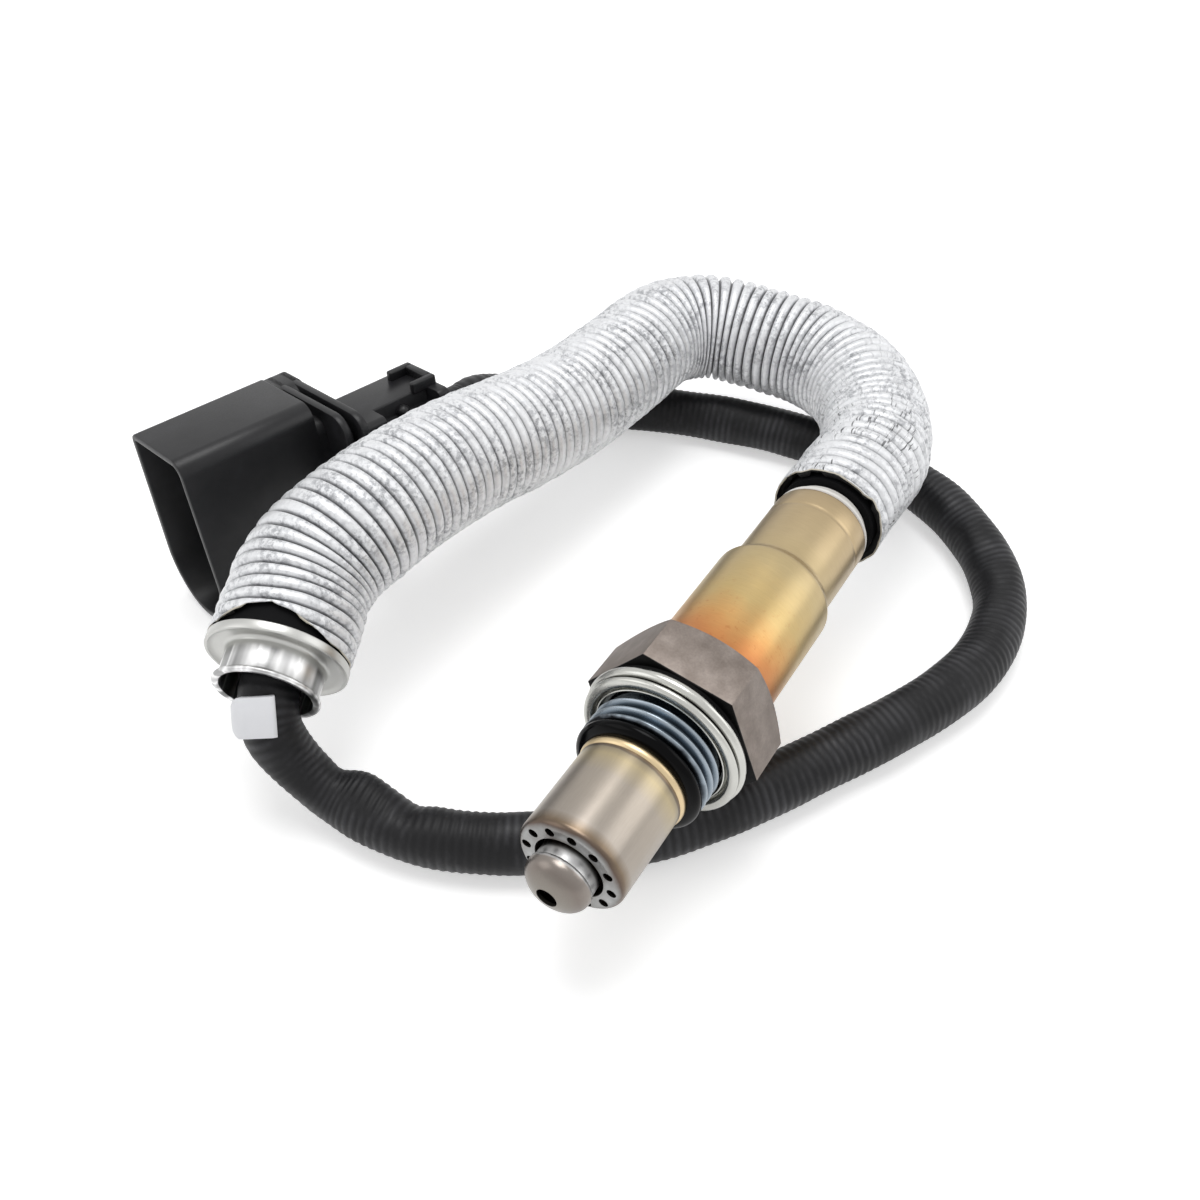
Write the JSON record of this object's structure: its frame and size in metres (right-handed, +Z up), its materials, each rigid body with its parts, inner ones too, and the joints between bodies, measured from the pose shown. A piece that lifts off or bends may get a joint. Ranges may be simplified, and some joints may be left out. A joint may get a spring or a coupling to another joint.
{
  "type": "oxygen sensor",
  "caption": "Wideband oxygen sensor with an M18 thread and 22 mm hexagon, a foil heat shield hose, ferrule, sheathed cable and black plug housing",
  "frame": {"origin": "On the sensor's axis in the plane of the gasket's sealing face", "axes": "+X along the sensor's axis towards its tip, +Z up, the cable and plug lie on the plane z = -20.6 mm"},
  "size_m": [0.1307, 0.1265, 0.0354],
  "materials": {
    "bare_steel": "Drawn stainless steel, finely brushed, warm grey",
    "blued_steel": "Turned and blasted stainless steel, blue grey on the thread",
    "bright_steel": "Folded bright steel gasket ring",
    "heat_tinted_steel": "Stainless steel sleeve with straw and copper heat tint",
    "ceramic": "Sintered alumina and zirconia",
    "contact_metal": "Stamped and plated contact metal",
    "white_ptfe": "White PTFE seal",
    "lead_insulation": "Extruded PTFE insulation",
    "black_sleeve": "Black glass fibre sleeve",
    "foil": "Corrugated aluminium foil on glass fibre",
    "turned_aluminium": "Turned aluminium, bright",
    "black_sheath": "Black extruded sheath over a ribbed conduit",
    "white_clip": "White moulded clip",
    "black_nylon": "Black glass filled nylon, fine satin",
    "lock_plastic": "Violet moulded lock",
    "seal_rubber": "Blue silicone rubber"
  },
  "bodies": {
    "root": {"outer_tube": "bare_steel", "inner_tube": "bare_steel", "housing": "blued_steel", "gasket": "bright_steel", "element": "ceramic", "front_ceramic": "ceramic", "powder_seal": "ceramic", "rear_ceramic": "ceramic", "sleeve": "heat_tinted_steel", "contact_holder": "ceramic", "contact_1": "contact_metal", "contact_2": "contact_metal", "contact_3": "contact_metal", "contact_4": "contact_metal", "contact_5": "contact_metal", "grommet": "white_ptfe", "lead_1": "lead_insulation", "lead_2": "lead_insulation", "lead_3": "lead_insulation", "lead_4": "lead_insulation", "lead_5": "lead_insulation", "hose_liner": "black_sleeve", "heat_shield_hose": "foil", "ferrule": "turned_aluminium", "cable_sheath": "black_sheath", "cable_clip": "white_clip", "plug_shell": "black_nylon", "pin_carrier": "black_nylon", "pin_1": "contact_metal", "pin_2": "contact_metal", "pin_3": "contact_metal", "pin_4": "contact_metal", "pin_5": "contact_metal", "pin_6": "contact_metal", "secondary_lock": "lock_plastic", "wire_seal": "seal_rubber", "trim_resistor": "ceramic"}
  },
  "joints": []
}
